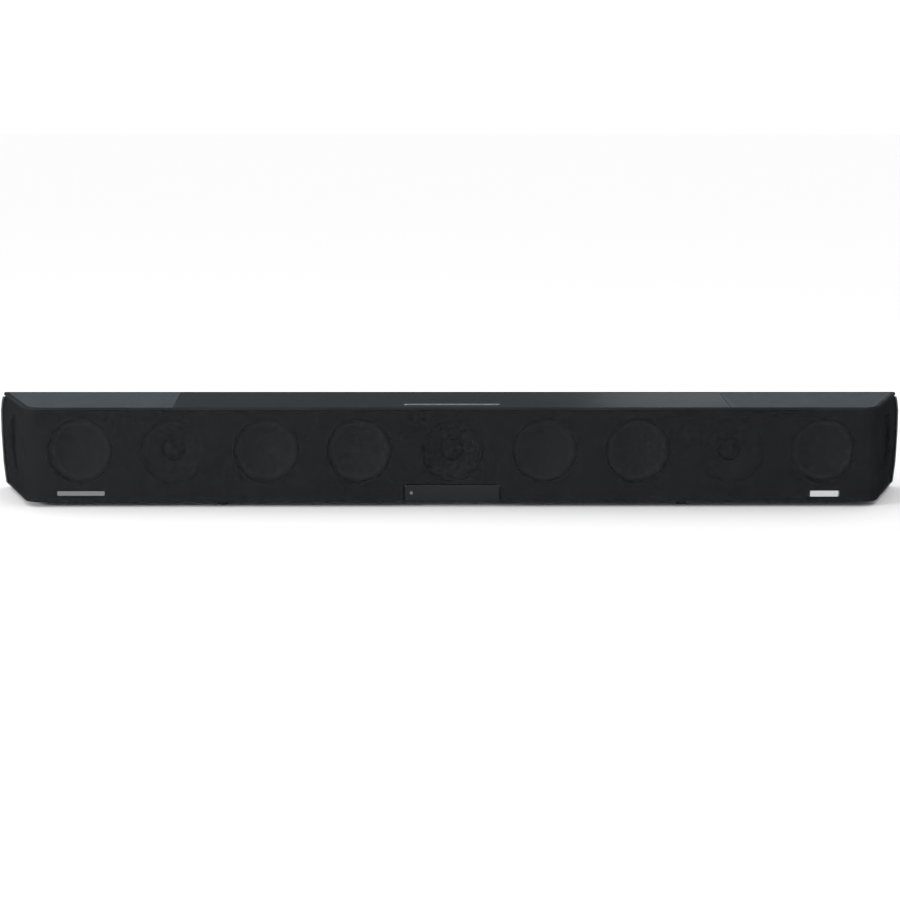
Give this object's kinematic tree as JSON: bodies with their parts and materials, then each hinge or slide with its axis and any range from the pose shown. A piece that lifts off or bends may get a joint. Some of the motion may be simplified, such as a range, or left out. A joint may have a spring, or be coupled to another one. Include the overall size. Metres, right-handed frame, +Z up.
{
  "type": "soundbar",
  "caption": "Long wedge-ended soundbar with a cloth front, a brushed metal top, perforated top grilles, a row of small keys and a rear connector bay.",
  "frame": {"origin": "under the middle of the bar, on the surface that its feet stand on", "axes": "+X to the right end seen from the front, -Y out of the cloth front, +Z up"},
  "size_m": [1.265, 0.171, 0.135],
  "materials": {
    "cabinet_plastic": "fine moulded texture, black",
    "baffle_plastic": "plain moulded black",
    "acoustic_cloth": "charcoal knitted acoustic cloth",
    "rim_plastic": "satin painted dark grey",
    "brushed_top": "long brushed, dark anodised",
    "grille_metal": "finely perforated, grey satin paint",
    "bezel_metal": "satin anodised",
    "key_plastic": "satin dark grey",
    "circuit_board": "solder mask",
    "display_lens": "smoked, lightly hazed",
    "badge_diffuser": "white diffuser",
    "socket_plastic": "black moulded",
    "socket_steel": "tinned steel",
    "sink_aluminium": "plain extruded",
    "basket_steel": "black coated",
    "cone_fibre": "pressed fibre",
    "waveguide_plastic": "satin moulded",
    "dome_foil": "thin dished foil",
    "plate_steel": "zinc plated",
    "foot_rubber": "soft black rubber"
  },
  "bodies": {
    "root": {"cabinet": "cabinet_plastic", "connector_bay": "cabinet_plastic", "front_baffle": "baffle_plastic", "grille_frame": "baffle_plastic", "grille_cloth": "acoustic_cloth", "top_frame": "rim_plastic", "top_panel": "brushed_top", "control_bezel": "bezel_metal", "control_board": "circuit_board", "display_board": "circuit_board", "power_supply": "circuit_board", "main_board": "circuit_board", "display_window": "display_lens", "status_badge": "badge_diffuser", "mains_inlet": "socket_plastic", "optical_socket": "socket_plastic", "video_socket": "socket_steel", "heat_sink": "sink_aluminium", "woofer_basket_1": "basket_steel", "woofer_basket_2": "basket_steel", "woofer_basket_3": "basket_steel", "woofer_basket_4": "basket_steel", "woofer_basket_5": "basket_steel", "woofer_basket_6": "basket_steel", "tweeter_body_left": "waveguide_plastic", "tweeter_body_centre": "waveguide_plastic", "tweeter_body_right": "waveguide_plastic", "side_tweeter_body_left": "waveguide_plastic", "top_driver_basket_left": "basket_steel", "top_grille_left": "grille_metal", "wall_plate_left": "plate_steel", "foot_front_left": "foot_rubber", "foot_rear_left": "foot_rubber", "side_tweeter_body_right": "waveguide_plastic", "top_driver_basket_right": "basket_steel", "top_grille_right": "grille_metal", "wall_plate_right": "plate_steel", "foot_front_right": "foot_rubber", "foot_rear_right": "foot_rubber"},
    "button_1": {"button_1": "key_plastic"},
    "button_2": {"button_2": "key_plastic"},
    "button_3": {"button_3": "key_plastic"},
    "button_4": {"button_4": "key_plastic"},
    "button_5": {"button_5": "key_plastic"},
    "button_6": {"button_6": "key_plastic"},
    "button_7": {"button_7": "key_plastic"},
    "button_8": {"button_8": "key_plastic"},
    "woofer_cone_1": {"woofer_cone_1": "cone_fibre"},
    "woofer_cone_2": {"woofer_cone_2": "cone_fibre"},
    "woofer_cone_3": {"woofer_cone_3": "cone_fibre"},
    "woofer_cone_4": {"woofer_cone_4": "cone_fibre"},
    "woofer_cone_5": {"woofer_cone_5": "cone_fibre"},
    "woofer_cone_6": {"woofer_cone_6": "cone_fibre"},
    "top_driver_cone_left": {"top_driver_cone_left": "cone_fibre"},
    "top_driver_cone_right": {"top_driver_cone_right": "cone_fibre"},
    "tweeter_dome_left": {"tweeter_dome_left": "dome_foil"},
    "tweeter_dome_centre": {"tweeter_dome_centre": "dome_foil"},
    "tweeter_dome_right": {"tweeter_dome_right": "dome_foil"},
    "side_tweeter_dome_left": {"side_tweeter_dome_left": "dome_foil"},
    "side_tweeter_dome_right": {"side_tweeter_dome_right": "dome_foil"}
  },
  "joints": [
    {"name": "button_1_travel", "type": "slide", "parent": "root", "child": "button_1", "axis": [0, 0, -1], "range_m": [0, 0.001], "stiffness_N_per_m": 400},
    {"name": "button_2_travel", "type": "slide", "parent": "root", "child": "button_2", "axis": [0, 0, -1], "range_m": [0, 0.001], "stiffness_N_per_m": 400},
    {"name": "button_3_travel", "type": "slide", "parent": "root", "child": "button_3", "axis": [0, 0, -1], "range_m": [0, 0.001], "stiffness_N_per_m": 400},
    {"name": "button_4_travel", "type": "slide", "parent": "root", "child": "button_4", "axis": [0, 0, -1], "range_m": [0, 0.001], "stiffness_N_per_m": 400},
    {"name": "button_5_travel", "type": "slide", "parent": "root", "child": "button_5", "axis": [0, 0, -1], "range_m": [0, 0.001], "stiffness_N_per_m": 400},
    {"name": "button_6_travel", "type": "slide", "parent": "root", "child": "button_6", "axis": [0, 0, -1], "range_m": [0, 0.001], "stiffness_N_per_m": 400},
    {"name": "button_7_travel", "type": "slide", "parent": "root", "child": "button_7", "axis": [0, 0, -1], "range_m": [0, 0.001], "stiffness_N_per_m": 400},
    {"name": "button_8_travel", "type": "slide", "parent": "root", "child": "button_8", "axis": [0, 0, -1], "range_m": [0, 0.001], "stiffness_N_per_m": 400},
    {"name": "woofer_cone_1_travel", "type": "slide", "parent": "root", "child": "woofer_cone_1", "axis": [0, -1, 0], "range_m": [-0.005, 0.005], "stiffness_N_per_m": 1500},
    {"name": "woofer_cone_2_travel", "type": "slide", "parent": "root", "child": "woofer_cone_2", "axis": [0, -1, 0], "range_m": [-0.005, 0.005], "stiffness_N_per_m": 1500},
    {"name": "woofer_cone_3_travel", "type": "slide", "parent": "root", "child": "woofer_cone_3", "axis": [0, -1, 0], "range_m": [-0.005, 0.005], "stiffness_N_per_m": 1500},
    {"name": "woofer_cone_4_travel", "type": "slide", "parent": "root", "child": "woofer_cone_4", "axis": [0, -1, 0], "range_m": [-0.005, 0.005], "stiffness_N_per_m": 1500},
    {"name": "woofer_cone_5_travel", "type": "slide", "parent": "root", "child": "woofer_cone_5", "axis": [0, -1, 0], "range_m": [-0.005, 0.005], "stiffness_N_per_m": 1500},
    {"name": "woofer_cone_6_travel", "type": "slide", "parent": "root", "child": "woofer_cone_6", "axis": [0, -1, 0], "range_m": [-0.005, 0.005], "stiffness_N_per_m": 1500},
    {"name": "top_driver_cone_left_travel", "type": "slide", "parent": "root", "child": "top_driver_cone_left", "axis": [0, 0, 1], "range_m": [-0.003, 0.003], "stiffness_N_per_m": 1800},
    {"name": "top_driver_cone_right_travel", "type": "slide", "parent": "root", "child": "top_driver_cone_right", "axis": [0, 0, 1], "range_m": [-0.003, 0.003], "stiffness_N_per_m": 1800},
    {"name": "tweeter_dome_left_travel", "type": "slide", "parent": "root", "child": "tweeter_dome_left", "axis": [0, -1, 0], "range_m": [-0.0003, 0.0003], "stiffness_N_per_m": 4000},
    {"name": "tweeter_dome_centre_travel", "type": "slide", "parent": "root", "child": "tweeter_dome_centre", "axis": [0, -1, 0], "range_m": [-0.0003, 0.0003], "stiffness_N_per_m": 4000},
    {"name": "tweeter_dome_right_travel", "type": "slide", "parent": "root", "child": "tweeter_dome_right", "axis": [0, -1, 0], "range_m": [-0.0003, 0.0003], "stiffness_N_per_m": 4000},
    {"name": "side_tweeter_dome_left_travel", "type": "slide", "parent": "root", "child": "side_tweeter_dome_left", "axis": [-0.9453, -0.3262, 0], "range_m": [-0.0003, 0.0003], "stiffness_N_per_m": 4000},
    {"name": "side_tweeter_dome_right_travel", "type": "slide", "parent": "root", "child": "side_tweeter_dome_right", "axis": [0.9453, -0.3262, 0], "range_m": [-0.0003, 0.0003], "stiffness_N_per_m": 4000}
  ]
}
